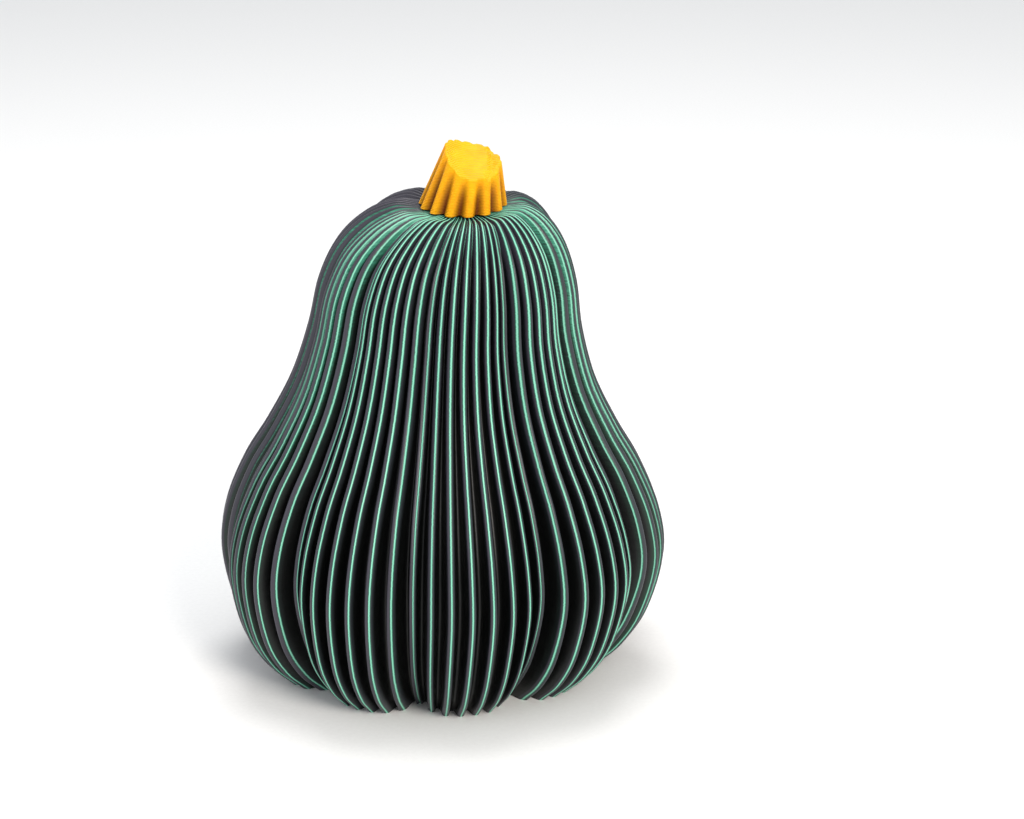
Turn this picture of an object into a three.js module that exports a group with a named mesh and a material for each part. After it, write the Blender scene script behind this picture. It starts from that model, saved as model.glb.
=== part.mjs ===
// A pear-shaped ribbed pumpkin made as a decoration: a lobed body with deep
// upright ribs, and a fluted stem with a slanted end. Millimetres, +Z up,
// resting on z = 0 with the foot's centre at the origin.
import * as THREE from 'three';

// Body: lobes and ribs
const LOBES = 10;
const RIBS = 70;
const LOBE_PEAK = THREE.MathUtils.degToRad(11.5);
const RIB_START = THREE.MathUtils.degToRad(-6.5);
const CREASE_POWER = 1.6;
const TIP_WIDTH = 1.7;
const TIP_SHARE = 0.58;
const FLOOR_SHARE = 0.24;

// Body profile, foot to crown: tip radius, height, lobe depth, rib depth,
// lean to the right, and nod, the slope that tips the ring towards the front
const PROFILE = [
  [40.6, 0.0, 8.2, 3.4, 0.0, 0],
  [46.8, 6.0, 8.0, 4.2, 0.2, 0],
  [51.8, 15.0, 7.0, 5.0, 0.5, 0],
  [54.7, 28.5, 5.9, 5.4, 1.0, 0],
  [53.1, 40.0, 5.2, 5.2, 1.1, 0],
  [48.3, 51.5, 4.3, 4.6, 1.2, 0],
  [42.6, 61.0, 3.8, 4.0, 1.4, 0],
  [36.8, 72.5, 3.6, 3.5, 1.7, 0],
  [33.0, 85.0, 3.6, 3.2, 2.2, 0],
  [30.9, 96.5, 3.5, 2.9, 2.9, 0.01],
  [27.3, 105.8, 3.2, 2.4, 3.8, 0.04],
  [21.9, 112.2, 2.5, 1.7, 5.0, 0.08],
  [15.8, 115.3, 1.3, 1.0, 6.2, 0.09],
  [10.9, 115.0, 0.3, 0.5, 6.75, 0.09],
];
const FRONT_LEAN = 0.6;
const SEAT_DROP = 0.6;

// Stem
const STEM_GAP = 0.3;
const STEM_BASE_RADIUS = 10.4;
const STEM_TAPER = 0.28;
const STEM_LEAN = 0.16;
const STEM_HEIGHT = 10.9;
const STEM_SLANT = 0.3;
const STEM_SIDE_SLANT = -0.24;
const STEM_SCOOP = 0.049;
const STEM_STEP = 1.3;
const STEM_STEP_EDGES = [4, 5.2];
const FLUTES = 14;
const FLUTE_DEPTH = 1.6;
const FLUTE_FADE = 0.7;
const FLUTE_START = THREE.MathUtils.degToRad(-4);
const FLUTE_STEPS = 6;
const STEM_RINGS = 6;

// A closed solid from rings of points stacked from low to high. Each end is
// closed with a fan about its centre point.
function solidFromRings(rings, lowCentre, highCentre) {
  const count = rings[0].length;
  const points = [...rings.flat(), lowCentre, highCentre];
  const low = points.length - 2;
  const high = points.length - 1;
  const last = (rings.length - 1) * count;
  const index = [];
  for (let j = 0; j < count; j++) {
    const next = (j + 1) % count;
    index.push(low, next, j);
    index.push(high, last + j, last + next);
    for (let i = 0; i < rings.length - 1; i++) {
      const a = i * count + j;
      const b = i * count + next;
      index.push(a, b, b + count);
      index.push(a, b + count, a + count);
    }
  }
  const geometry = new THREE.BufferGeometry().setFromPoints(points);
  geometry.setIndex(index);
  geometry.computeVertexNormals();
  return geometry;
}

// How far into a crease between lobes an angle lies: 0 on a lobe, 1 in it.
function crease(angle) {
  const fall = 1 - Math.abs(Math.cos(LOBES / 2 * (angle - LOBE_PEAK)));
  return fall ** CREASE_POWER;
}

// The way out of the body at a profile station: level up to the belly, then
// square to the profile.
function outward(i) {
  const below = PROFILE[Math.max(i - 1, 0)];
  const above = PROFILE[Math.min(i + 1, PROFILE.length - 1)];
  const tilt = Math.atan2(below[0] - above[0], above[1] - below[1]);
  return THREE.MathUtils.clamp(tilt, 0, Math.PI / 2);
}

// One ring of the body. Each rib gives four points: the two edges of its tip
// and the two edges of the groove floor after it.
function bodyRing(station, i) {
  const [radius, height, lobeDepth, ribDepth, lean, nod] = station;
  const pitch = 2 * Math.PI / RIBS;
  const tip = Math.min(TIP_WIDTH / radius, TIP_SHARE * pitch);
  const floor = FLOOR_SHARE * pitch;
  const tilt = outward(i);
  const ring = [];
  for (let rib = 0; rib < RIBS; rib++) {
    const centre = RIB_START + rib * pitch;
    const corners = [
      [centre - tip / 2, 0],
      [centre + tip / 2, 0],
      [centre + (pitch - floor) / 2, ribDepth],
      [centre + (pitch + floor) / 2, ribDepth],
    ];
    for (const [angle, groove] of corners) {
      const inset = lobeDepth * crease(angle) + groove;
      const r = radius - inset * Math.cos(tilt);
      const y = -r * Math.cos(angle);
      const z = height - inset * Math.sin(tilt) + nod * y;
      ring.push(new THREE.Vector3(lean + r * Math.sin(angle), y - FRONT_LEAN * lean, z));
    }
  }
  return ring;
}

function makeBody() {
  const rings = PROFILE.map(bodyRing);
  const [, height, , , lean] = PROFILE.at(-1);
  const foot = new THREE.Vector3(0, 0, 0);
  const seat = new THREE.Vector3(lean, -FRONT_LEAN * lean, height - SEAT_DROP);
  return solidFromRings(rings, foot, seat);
}

// Height of the stem's end above its base: slanted down to the front and to
// the right, scooped from side to side, with a small step down on the right.
function slant(x, y) {
  const [left, right] = STEM_STEP_EDGES;
  const step = STEM_STEP * THREE.MathUtils.smoothstep(x, left, right);
  return STEM_HEIGHT + STEM_SLANT * y + STEM_SIDE_SLANT * x + STEM_SCOOP * x * x - step;
}

// The stem is a fluted cone that leans to the right, with a slanted end.
function makeStem() {
  const rings = [];
  const count = FLUTES * FLUTE_STEPS;
  for (let i = 0; i < STEM_RINGS; i++) {
    const share = i / (STEM_RINGS - 1);
    const ring = [];
    for (let j = 0; j < count; j++) {
      const angle = j / count * 2 * Math.PI;
      const flute = 0.5 + 0.5 * Math.cos(FLUTES * (angle - FLUTE_START));
      const depth = FLUTE_DEPTH * (1 - FLUTE_FADE * share) * flute ** 2;
      let height = STEM_HEIGHT * share;
      for (let step = 0; step < 12; step++) {
        const r = STEM_BASE_RADIUS - depth - STEM_TAPER * height;
        height = share * slant(r * Math.sin(angle), -r * Math.cos(angle));
      }
      const r = STEM_BASE_RADIUS - depth - STEM_TAPER * height;
      const x = STEM_LEAN * height + r * Math.sin(angle);
      ring.push(new THREE.Vector3(x, -r * Math.cos(angle), height));
    }
    rings.push(ring);
  }
  const low = new THREE.Vector3(0, 0, 0);
  const high = new THREE.Vector3(STEM_LEAN * STEM_HEIGHT, 0, slant(0, 0));
  return solidFromRings(rings, low, high);
}

const body = new THREE.Mesh(
  makeBody(),
  new THREE.MeshStandardMaterial({ color: '#2f5a4c', roughness: 0.38, metalness: 0 }),
);
body.name = 'ribbed_body';

const stem = new THREE.Mesh(
  makeStem(),
  new THREE.MeshStandardMaterial({ color: '#f5b400', roughness: 0.5, metalness: 0 }),
);
stem.name = 'stem';
const [, crown, , , crownLean, crownNod] = PROFILE.at(-1);
stem.position.set(crownLean, -FRONT_LEAN * crownLean, crown + STEM_GAP);
stem.rotation.x = Math.atan(crownNod);

const part = new THREE.Group();
part.name = 'ribbed_pumpkin';
part.add(body, stem);

export default part;
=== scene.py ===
"""A pear-shaped ribbed pumpkin, printed in a two-tone silk strand, with a
fluted yellow stem. The body is one sleeve of thin rounded ribs that follow
ten lobes; the stem is a fluted cone cut on a slant."""

import math

import bpy
import numpy as np
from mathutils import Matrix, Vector


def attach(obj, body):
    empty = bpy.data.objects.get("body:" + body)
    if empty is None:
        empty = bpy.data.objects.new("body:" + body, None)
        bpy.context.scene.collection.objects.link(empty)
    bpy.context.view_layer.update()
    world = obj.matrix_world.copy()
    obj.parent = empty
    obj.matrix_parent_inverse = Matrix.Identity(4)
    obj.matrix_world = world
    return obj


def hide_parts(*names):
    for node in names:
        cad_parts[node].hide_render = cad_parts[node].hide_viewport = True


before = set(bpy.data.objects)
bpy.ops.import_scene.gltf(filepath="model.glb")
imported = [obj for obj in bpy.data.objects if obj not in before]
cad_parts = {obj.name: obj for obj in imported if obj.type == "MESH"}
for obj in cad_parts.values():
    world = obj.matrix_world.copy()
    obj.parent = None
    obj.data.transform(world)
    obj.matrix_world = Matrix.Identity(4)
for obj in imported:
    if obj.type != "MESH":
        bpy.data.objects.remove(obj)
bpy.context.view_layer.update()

MM = 0.001

# Body: lobes and ribs, millimetres and radians
LOBES = 10
RIBS = 70
LOBE_PEAK = math.radians(11.5)
RIB_START = math.radians(-6.5)
CREASE_POWER = 1.6
TIP_WIDTH = 1.7
TIP_SHARE = 0.58
STEPS = 6
# A groove this deep, in millimetres, gets full painted shade at its floor
DEEP_GROOVE = 5.0
NARROW_BELOW = 45.0
NARROW_PULL = 0.45

# Body stations, foot to crown: tip radius, height, lobe depth, rib depth,
# lean to the right, and nod, the slope that tips the ring to the front
STATIONS = np.array([
    (40.6, 0.0, 8.2, 3.4, 0.0, 0),
    (46.8, 6.0, 8.0, 4.2, 0.2, 0),
    (51.8, 15.0, 7.0, 5.0, 0.5, 0),
    (54.7, 28.5, 5.9, 5.4, 1.0, 0),
    (53.1, 40.0, 5.2, 5.2, 1.1, 0),
    (48.3, 51.5, 4.3, 4.6, 1.2, 0),
    (42.6, 61.0, 3.8, 4.0, 1.4, 0),
    (36.8, 72.5, 3.6, 3.5, 1.7, 0),
    (33.0, 85.0, 3.6, 3.2, 2.2, 0),
    (30.9, 96.5, 3.5, 2.9, 2.9, 0.01),
    (27.3, 105.8, 3.2, 2.4, 3.8, 0.04),
    (21.9, 112.2, 2.5, 1.7, 5.0, 0.08),
    (15.8, 115.3, 1.3, 1.0, 6.2, 0.09),
    (10.9, 115.0, 0.3, 0.5, 6.75, 0.09),
])
FRONT_LEAN = 0.6
SEAT_DROP = 0.6

# Unrolled map: a margin, the height and spacing of its two strips, and where
# the two end fans sit
MAP_MARGIN = 0.01
STRIP_LENGTH = 0.98
STRIP_HEIGHT = 0.42
STRIP_SPACING = 0.44
LOW_FAN, HIGH_FAN = 0.06, 0.18
FAN_HEIGHT = 0.945
FAN_RADIUS = 0.045

# Half of a rib's section as fractions: a round tip, a flank and half a floor.
# The tip's points are fractions of its half width, both ways.
TIP_POINTS = ((0.26, 0.034), (0.5, 0.134), (0.71, 0.296), (0.87, 0.507), (0.97, 0.757))
# The flank's and floor's points: share of the half groove, share of the depth.
GROOVE_POINTS = ((0.3, 0.6), (0.62, 0.96))

# Print layers on the stem, metres, and the length that one band of a band
# texture takes at scale 1
LAYER_HEIGHT = 0.00035
BAND_REPEAT = 0.314

# Stem
STEM_GAP = 0.3
STEM_BASE_RADIUS = 10.4
STEM_TAPER = 0.28
STEM_LEAN = 0.16
STEM_HEIGHT = 10.9
STEM_SLANT = 0.3
STEM_SIDE_SLANT = -0.24
STEM_SCOOP = 0.049
STEM_STEP = 1.3
STEM_STEP_EDGES = (4.0, 5.2)
FLUTES = 14
FLUTE_DEPTH = 1.6
FLUTE_FADE = 0.7
FLUTE_START = math.radians(-4)
FLUTE_POINTS = 16
STEM_AROUND = FLUTES * FLUTE_POINTS
STEM_UP = 60
RIM_ROUND = 0.5
RIM_STEPS = 6
HEIGHT_PASSES = 12
STEM_FACE_RINGS = 14


def linear(code):
    """Linear red, green, blue and alpha from an sRGB hex code."""
    parts = [int(code[i:i + 2], 16) / 255 for i in (1, 3, 5)]
    curve = [p / 12.92 if p <= 0.04045 else ((p + 0.055) / 1.055) ** 2.4 for p in parts]
    return (*curve, 1.0)


def add(tree, kind, settings=None, links=None):
    """One node in a material's tree, with its settings and its incoming links."""
    node = tree.nodes.new(kind)
    for key, value in (settings or {}).items():
        if isinstance(key, str) and hasattr(node, key):
            setattr(node, key, value)
        else:
            node.inputs[key].default_value = value
    for socket, source in (links or {}).items():
        tree.links.new(source, node.inputs[socket])
    return node


def ramp(tree, source, stops):
    """Colours along a ramp node, from (position, colour) stops."""
    node = add(tree, "ShaderNodeValToRGB", links={"Fac": source})
    scale = node.color_ramp
    while len(scale.elements) < len(stops):
        scale.elements.new(0.5)
    for element, (place, colour) in zip(scale.elements, stops):
        element.position = place
        element.color = linear(colour)
    return node


def new_material(name):
    material = bpy.data.materials.new(name)
    material.use_nodes = True
    material.node_tree.nodes.clear()
    return material, material.node_tree


def silk_pla():
    """Two-tone silk PLA, printed in layers. The strand is green on one side and
    near black on the other, so a wall shows green where it faces the front.
    Where a wall faces left it shows purple-black: a purple-grey painted sheen
    on the rib tips over near-black painted shade on the flanks. Where it faces
    right it is a lighter grey, painted light as from a lamp on the right. Each
    rib gets a thin bright mint line, the strand's green with a painted
    highlight, and the grooves a black floor, partly the strand's black side
    and partly painted shade."""
    material, tree = new_material("two_tone_silk_pla_and_painted_light")
    wall = add(tree, "ShaderNodeAttribute", {"attribute_name": "facing"})
    turn = add(tree, "ShaderNodeSeparateXYZ", links={0: wall.outputs["Vector"]})
    ahead = add(tree, "ShaderNodeMath", {"operation": "MULTIPLY", 1: -1.0},
                {0: turn.outputs["Y"]})
    side = add(tree, "ShaderNodeMath", {"operation": "ARCTAN2"},
               {0: turn.outputs["X"], 1: ahead.outputs[0]})
    place = add(tree, "ShaderNodeMapRange",
                {"From Min": -math.pi, "From Max": math.pi}, {"Value": side.outputs[0]})
    # Grain along the layers, about 0.4 mm tall and several millimetres long.
    spot = add(tree, "ShaderNodeTexCoord")
    stretched = add(tree, "ShaderNodeMapping", {"Scale": (180, 180, 2600)},
                    {"Vector": spot.outputs["Object"]})
    grain = add(tree, "ShaderNodeTexNoise", {"Scale": 1.0, "Detail": 3.0},
                {"Vector": stretched.outputs[0]})
    shift = add(tree, "ShaderNodeMath", {"operation": "MULTIPLY_ADD", 1: 0.03, 2: -0.015},
                {0: grain.outputs["Fac"]})
    wavering = add(tree, "ShaderNodeMath", {"operation": "ADD"},
                   {0: place.outputs[0], 1: shift.outputs[0]})
    # Both ramps run once round the part: 0.5 faces the front, 0.25 the left,
    # 0.75 the right, and either end the back.
    # The tip ramp holds painted light: the bright mint peak at the front is the strand's green
    # with a painted highlight, the purple grey to the left is a painted sheen, and the grey to
    # the right is painted light as from a lamp on the right.
    tip = ramp(tree, wavering.outputs[0], [
        (0.00, "#141518"), (0.24, "#35323c"), (0.44, "#35323c"), (0.478, "#223330"),
        (0.492, "#3d8f74"), (0.507, "#84cdb2"), (0.535, "#84cdb2"), (0.553, "#3d8f74"),
        (0.578, "#1f3a30"), (0.60, "#2a2e33"), (0.76, "#2f3338"), (1.00, "#141518")])
    # The flank ramp is painted shade: darker copies of the tip colours, near black where walls
    # face left and a lighter grey where they face right, as painted light from the right.
    flank = ramp(tree, wavering.outputs[0], [
        (0.00, "#090a0c"), (0.25, "#0b0e13"), (0.46, "#0b1012"), (0.485, "#112e22"),
        (0.55, "#112e22"), (0.58, "#101816"), (0.63, "#1e2225"), (0.76, "#25282c"),
        (1.00, "#090a0c")])
    # Down a groove the colour goes from the tip ramp to the darker flank ramp, painted shade, and
    # then to a near-black floor, partly the strand's black side and partly painted shade.
    depth = add(tree, "ShaderNodeAttribute", {"attribute_name": "groove"})
    tip_to_shaded_flank = add(tree, "ShaderNodeMapRange",
                       {"From Min": 0.08, "From Max": 0.17, "interpolation_type": "SMOOTHSTEP"},
                       {"Value": depth.outputs["Fac"]})
    outer = add(tree, "ShaderNodeMix", {"data_type": "RGBA"},
                {"Factor": tip_to_shaded_flank.outputs[0], 6: tip.outputs[0], 7: flank.outputs[0]})
    to_black_strand_and_shade = add(tree, "ShaderNodeMapRange",
                   {"From Min": 0.16, "From Max": 0.4, "interpolation_type": "SMOOTHSTEP"},
                   {"Value": depth.outputs["Fac"]})
    colour = add(tree, "ShaderNodeMix", {"data_type": "RGBA", 7: linear("#020303")},
                 {"Factor": to_black_strand_and_shade.outputs[0], 6: outer.outputs[2]})
    lines = add(tree, "ShaderNodeBump", {"Strength": 0.25, "Distance": 0.0001},
                {"Height": grain.outputs["Fac"]})
    rough = add(tree, "ShaderNodeMapRange", {"To Min": 0.32, "To Max": 0.5},
                {"Value": grain.outputs["Fac"]})
    shader = add(tree, "ShaderNodeBsdfPrincipled", {"IOR": 1.46},
                 {"Base Color": colour.outputs[2], "Roughness": rough.outputs[0],
                  "Normal": lines.outputs[0]})
    add(tree, "ShaderNodeOutputMaterial", links={"Surface": shader.outputs[0]})
    return material


def yellow_pla():
    """Opaque yellow PLA printed in layers: a warm, barely glossy plastic with
    fine level lines, and brown orange down in the flutes as painted shade.
    The layers are drawn 0.35 mm tall, coarser than the usual 0.2 mm, so that
    they show."""
    material, tree = new_material("yellow_printed_pla")
    spot = add(tree, "ShaderNodeTexCoord")
    layers = add(tree, "ShaderNodeTexWave",
                 {"wave_type": "BANDS", "bands_direction": "Z",
                  "Scale": BAND_REPEAT / LAYER_HEIGHT, "Distortion": 0.6, "Detail": 1.0},
                 {"Vector": spot.outputs["Object"]})
    patches = add(tree, "ShaderNodeTexNoise", {"Scale": 320.0, "Detail": 4.0},
                  {"Vector": spot.outputs["Object"]})
    flute = add(tree, "ShaderNodeAttribute", {"attribute_name": "groove"})
    tone = ramp(tree, patches.outputs["Fac"], [(0.3, "#f9a400"), (0.7, "#ffb600")])
    # Painted shade: the flutes darken toward brown orange with their groove share.
    painted_flute_shade = add(tree, "ShaderNodeMix", {"data_type": "RGBA", 7: linear("#6a3000")},
               {"Factor": flute.outputs["Fac"], 6: tone.outputs[0]})
    lines = add(tree, "ShaderNodeBump", {"Strength": 0.8, "Distance": 0.00015},
                {"Height": layers.outputs["Fac"]})
    shader = add(tree, "ShaderNodeBsdfPrincipled",
                 {"IOR": 1.46, "Roughness": 0.55, "Specular IOR Level": 0.25,
                  "Subsurface Weight": 0.05, "Subsurface Radius": (0.003, 0.0015, 0.0005)},
                 {"Base Color": painted_flute_shade.outputs[2], "Normal": lines.outputs[0]})
    add(tree, "ShaderNodeOutputMaterial", links={"Surface": shader.outputs[0]})
    return material


def pale_paper():
    """Matte off-white paper, for the floor under the part."""
    material, tree = new_material("pale_paper")
    spot = add(tree, "ShaderNodeTexCoord")
    fibre = add(tree, "ShaderNodeTexNoise", {"Scale": 900.0, "Detail": 3.0},
                {"Vector": spot.outputs["Object"]})
    tone = ramp(tree, fibre.outputs["Fac"], [(0.3, "#ebeae8"), (0.7, "#efeeec")])
    shader = add(tree, "ShaderNodeBsdfPrincipled", {"Roughness": 0.85},
                 {"Base Color": tone.outputs[0]})
    add(tree, "ShaderNodeOutputMaterial", links={"Surface": shader.outputs[0]})
    return material


def smooth_stations():
    """The stations with a smooth curve run through them."""
    padded = np.vstack([2 * STATIONS[0] - STATIONS[1], STATIONS, 2 * STATIONS[-1] - STATIONS[-2]])
    rows = []
    for i in range(len(STATIONS) - 1):
        a, b, c, d = padded[i:i + 4]
        for step in range(STEPS):
            t = step / STEPS
            rows.append(0.5 * (2 * b + (c - a) * t + (2 * a - 5 * b + 4 * c - d) * t ** 2
                               + (3 * b - a - 3 * c + d) * t ** 3))
    rows.append(STATIONS[-1])
    return np.array(rows)


def crease(angle):
    """0 on a lobe, 1 in the crease between two."""
    return (1 - np.abs(np.cos(LOBES / 2 * (angle - LOBE_PEAK)))) ** CREASE_POWER


def rib_section(radius, depth):
    """One rib's points, from the middle of one groove to the next: angle from
    the rib's middle, depth, and a groove share from 0 to 1 that darkens the
    wall as painted shade. The share stays low in shallow grooves, so the
    crown stays grey."""
    pitch = 2 * math.pi / RIBS
    half = min(TIP_WIDTH / radius, TIP_SHARE * pitch) / 2
    half_mm = half * radius
    side = [(half * x, min(half_mm * y, 0.5 * depth)) for x, y in TIP_POINTS]
    start, start_depth = side[-1]
    groove = pitch / 2 - start
    for x, y in GROOVE_POINTS:
        side.append((start + groove * x, start_depth + (depth - start_depth) * y))
    left = [(-x, y) for x, y in reversed(side)]
    section = [(-pitch / 2, depth), *left, (0.0, 0.0), *side]
    shade = depth / DEEP_GROOVE ** 2
    return np.array([(x, y, min(1.0, y * shade)) for x, y in section])


def facing(angle, radius):
    """Which way each point of a ring of ribs looks, on the level, as vectors.
    On narrow ribs it is pulled to the front, so their green line stays wide."""
    x, y = radius * np.sin(angle), -radius * np.cos(angle)
    run = np.roll([x, y], -1, axis=1) - np.roll([x, y], 1, axis=1)
    turn = np.arctan2(run[1], run[0])
    pull = 1 + NARROW_PULL * np.clip((NARROW_BELOW - radius.max()) / NARROW_BELOW, 0, 1)
    turn = math.pi * np.sign(turn) * (np.abs(turn) / math.pi) ** pull
    return np.stack([np.sin(turn), -np.cos(turn), 0 * turn], -1)


def mesh_from_grid(name, rings, low_centre, high_centre, groove, ribs_in_strip, per_rib):
    """A closed mesh from rings of points, its ends closed by fans, with the
    groove share on its points and an unrolled map in two strips."""
    ups, around = rings.shape[:2]
    points = [*rings.reshape(-1, 3), low_centre, high_centre]
    low, high = len(points) - 2, len(points) - 1
    strip = ribs_in_strip * per_rib
    faces, uvs = [], []
    for i in range(ups - 1):
        for j in range(around):
            k = (j + 1) % around
            low_row, high_row = i * around, (i + 1) * around
            faces.append((low_row + j, low_row + k, high_row + k, high_row + j))
            row, column = divmod(j, strip)
            left = MAP_MARGIN + STRIP_LENGTH * column / strip
            right = MAP_MARGIN + STRIP_LENGTH * (column + 1) / strip
            base = MAP_MARGIN + STRIP_SPACING * row
            bottom = base + STRIP_HEIGHT * i / (ups - 1)
            top = base + STRIP_HEIGHT * (i + 1) / (ups - 1)
            uvs += [(left, bottom), (right, bottom), (right, top), (left, top)]
    walls = len(faces)
    reach = np.abs(rings[0][:, :2] - np.array(low_centre[:2])).max()
    for centre, ring, middle in ((low, 0, LOW_FAN), (high, ups - 1, HIGH_FAN)):
        for j in range(around):
            k = (j + 1) % around
            pair = (k, j) if ring == 0 else (j, k)
            faces.append((centre, ring * around + pair[0], ring * around + pair[1]))
            uvs.append((middle, FAN_HEIGHT))
            for n in pair:
                x, y = (rings[ring][n][:2] - np.array(points[centre][:2])) / reach * FAN_RADIUS
                uvs.append((middle + x, FAN_HEIGHT + y))
    mesh = bpy.data.meshes.new(name)
    mesh.from_pydata([tuple(p) for p in points], [], faces)
    layer = mesh.uv_layers.new(name="OFBake")
    layer.data.foreach_set("uv", np.array(uvs, np.float32).ravel())
    shares = np.concatenate([groove.ravel(), [groove[0].max(), groove[-1].max()]])
    mesh.attributes.new("groove", "FLOAT", "POINT").data.foreach_set(
        "value", shares.astype(np.float32))
    smooth = np.arange(len(faces)) < walls
    mesh.polygons.foreach_set("use_smooth", smooth)
    mesh.validate()
    mesh.update()
    for edge in mesh.edges:
        a, b = edge.vertices
        on_low = a < around and b < around
        on_high = min(a, b) >= (ups - 1) * around and max(a, b) < low
        edge.use_edge_sharp = on_low or on_high
    return mesh


def new_piece(name, mesh, node, material):
    piece = bpy.data.objects.new(name, mesh)
    bpy.context.scene.collection.objects.link(piece)
    mesh.materials.append(material)
    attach(piece, "root")
    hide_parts(node)
    return piece


def make_body():
    rows = smooth_stations()
    slope = np.gradient(rows[:, :2], axis=0)
    tilt = np.clip(np.arctan2(-slope[:, 0], slope[:, 1]), 0, math.pi / 2)
    pitch = 2 * math.pi / RIBS
    rings, grooves, facings = [], [], []
    for (radius, height, lobe_depth, rib_depth, lean, nod), lift in zip(rows, tilt):
        section = rib_section(radius, rib_depth)
        centres = RIB_START + pitch * np.arange(RIBS)
        angle = (centres[:, None] + section[None, :, 0]).ravel()
        depth = np.tile(section[:, 1], RIBS)
        inset = lobe_depth * crease(angle) + depth
        r = radius - inset * math.cos(lift)
        x, y = r * np.sin(angle), -r * np.cos(angle)
        z = height - inset * math.sin(lift) + nod * y
        rings.append(np.stack([lean + x, y - FRONT_LEAN * lean, z], -1) * MM)
        # The groove share, which the silk material paints as shade down the grooves.
        grooves.append(np.tile(section[:, 2], RIBS))
        facings.append(facing(angle, radius - depth))
    rings = np.array(rings)
    lean, height = STATIONS[-1][4], STATIONS[-1][1]
    crown = np.array([lean, -FRONT_LEAN * lean, height - SEAT_DROP]) * MM
    mesh = mesh_from_grid("ribbed_sleeve", rings, np.zeros(3), crown,
                          np.array(grooves), RIBS // 2, len(section))
    # Which way each point of the wall looks, on the level.
    ways = np.vstack([*facings, (0, -1, 0), (0, -1, 0)]).astype(np.float32)
    mesh.attributes.new("facing", "FLOAT_VECTOR", "POINT").data.foreach_set(
        "vector", ways.ravel())
    return new_piece("ribbed_sleeve", mesh, "ribbed_body", silk_pla())


def slant(x, y):
    """Height of the stem's end above its base: slanted down to the front and to
    the right, scooped from side to side, with a small step down on the right."""
    left, right = STEM_STEP_EDGES
    t = np.clip((x - left) / (right - left), 0, 1)
    step = STEM_STEP * t * t * (3 - 2 * t)
    return STEM_HEIGHT + STEM_SLANT * y + STEM_SIDE_SLANT * x + STEM_SCOOP * x ** 2 - step


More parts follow.
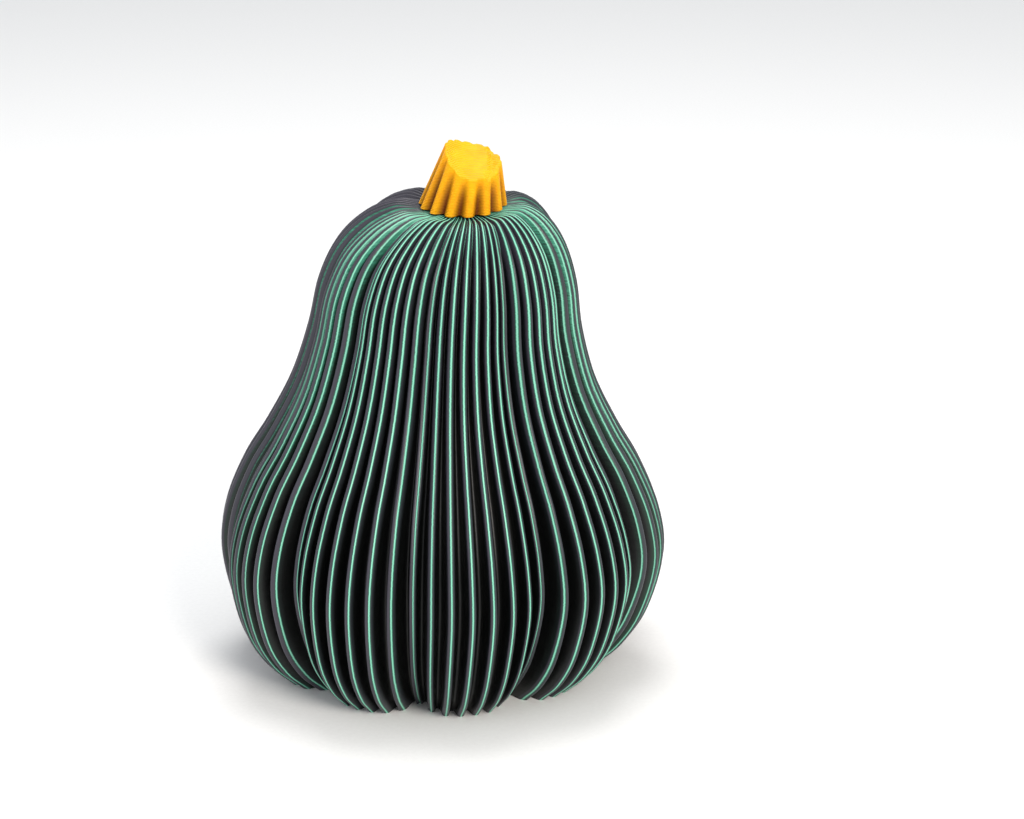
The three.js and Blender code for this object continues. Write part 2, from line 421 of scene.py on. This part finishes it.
def make_stem():
    angle = 2 * math.pi * np.arange(STEM_AROUND) / STEM_AROUND
    flute = (0.5 + 0.5 * np.cos(FLUTES * (angle - FLUTE_START))) ** 2
    rings, grooves = [], []
    for i in range(STEM_UP + 1):
        share = i / STEM_UP
        depth = FLUTE_DEPTH * (1 - FLUTE_FADE * share) * flute
        height = np.full(STEM_AROUND, STEM_HEIGHT * share)
        for step in range(HEIGHT_PASSES):
            r = STEM_BASE_RADIUS - depth - STEM_TAPER * height
            height = share * (slant(r * np.sin(angle), -r * np.cos(angle)) - RIM_ROUND)
        r = STEM_BASE_RADIUS - depth - STEM_TAPER * height
        x = STEM_LEAN * height + r * np.sin(angle)
        rings.append(np.stack([x, -r * np.cos(angle), height], -1))
        # The flutes' groove share: painted shade, fading out toward the cut end.
        grooves.append(flute ** 0.6 * (1 - share ** 3))
    rim = rings[-1]
    middle = np.array([STEM_LEAN * STEM_HEIGHT, 0, slant(0.0, 0.0)])
    inward = middle - rim
    inward[:, 2] = 0
    inward /= np.linalg.norm(inward, axis=1)[:, None]
    for i in range(1, RIM_STEPS + 1):
        bend = math.pi / 2 * i / RIM_STEPS
        ring = rim + inward * RIM_ROUND * (1 - math.cos(bend))
        ring[:, 2] += STEM_SLANT * (ring - rim)[:, 1] + RIM_ROUND * math.sin(bend)
        rings.append(ring)
        grooves.append(np.zeros(STEM_AROUND))
    edge = rings[-1]
    for i in range(1, STEM_FACE_RINGS):
        share = i / STEM_FACE_RINGS
        ring = edge * (1 - share) + middle * share
        shift = STEM_LEAN * STEM_HEIGHT
        level = slant(ring[:, 0] - shift, ring[:, 1])
        settle = min(1, 4 * share)
        ring[:, 2] = ring[:, 2] * (1 - settle) + level * settle
        rings.append(ring)
        grooves.append(np.zeros(STEM_AROUND))
    _, crown, _, _, lean, nod = STATIONS[-1]
    tip = math.atan(nod)
    tilt = np.array([
        (1, 0, 0), (0, math.cos(tip), -math.sin(tip)), (0, math.sin(tip), math.cos(tip))])
    foot = np.array([lean, -FRONT_LEAN * lean, crown + STEM_GAP])
    rings = (np.array(rings) @ tilt.T + foot) * MM
    mesh = mesh_from_grid("fluted_stem", rings, foot * MM, (tilt @ middle + foot) * MM,
                          np.array(grooves), FLUTES // 2, FLUTE_POINTS)
    return new_piece("fluted_stem", mesh, "stem", yellow_pla())


def make_floor():
    size = 3.0
    mesh = bpy.data.meshes.new("floor")
    corners = [(-size, -size, 0), (size, -size, 0), (size, size, 0), (-size, size, 0)]
    mesh.from_pydata(corners, [], [(0, 1, 2, 3)])
    mesh.materials.append(pale_paper())
    floor = bpy.data.objects.new("floor", mesh)
    bpy.context.scene.collection.objects.link(floor)


def add_area_light(name, place, target, size, power, tint):
    data = bpy.data.lights.new(name, "AREA")
    data.shape = "DISK"
    data.size = size
    data.energy = power
    data.color = linear(tint)[:3]
    lamp = bpy.data.objects.new(name, data)
    lamp.location = place
    lamp.rotation_euler = (Vector(target) - Vector(place)).to_track_quat("-Z", "Y").to_euler()
    bpy.context.scene.collection.objects.link(lamp)


def light_scene():
    world = bpy.data.worlds.new("studio")
    bpy.context.scene.world = world
    world.use_nodes = True
    sky = world.node_tree.nodes["Background"]
    sky.inputs["Color"].default_value = linear("#eef1f5")
    sky.inputs["Strength"].default_value = 0.9
    add_area_light("key", (0.45, -0.8, 0.6), (0, 0, 0.06), 0.45, 8.0, "#fff8f0")
    add_area_light("fill", (-0.8, -0.5, 0.35), (0, 0, 0.06), 0.6, 1.2, "#eef4ff")
    add_area_light("top", (0.0, 0.25, 0.9), (0, 0, 0.1), 0.5, 4.0, "#ffffff")


def place_camera():
    """Level camera, a little right of the foot's centre, looking down 18
    degrees from about 0.6 m away."""
    data = bpy.data.cameras.new("camera")
    data.sensor_width = 36.0
    data.lens = 91.4
    data.clip_end = 20.0
    camera = bpy.data.objects.new("camera", data)
    camera.location = (0.0183, -0.600, 0.258)
    camera.rotation_euler = (math.radians(90 - 18), 0, 0)
    bpy.context.scene.collection.objects.link(camera)
    bpy.context.scene.camera = camera


bpy.context.scene.view_settings.view_transform = "Standard"
make_body()
make_stem()
make_floor()
light_scene()
place_camera()
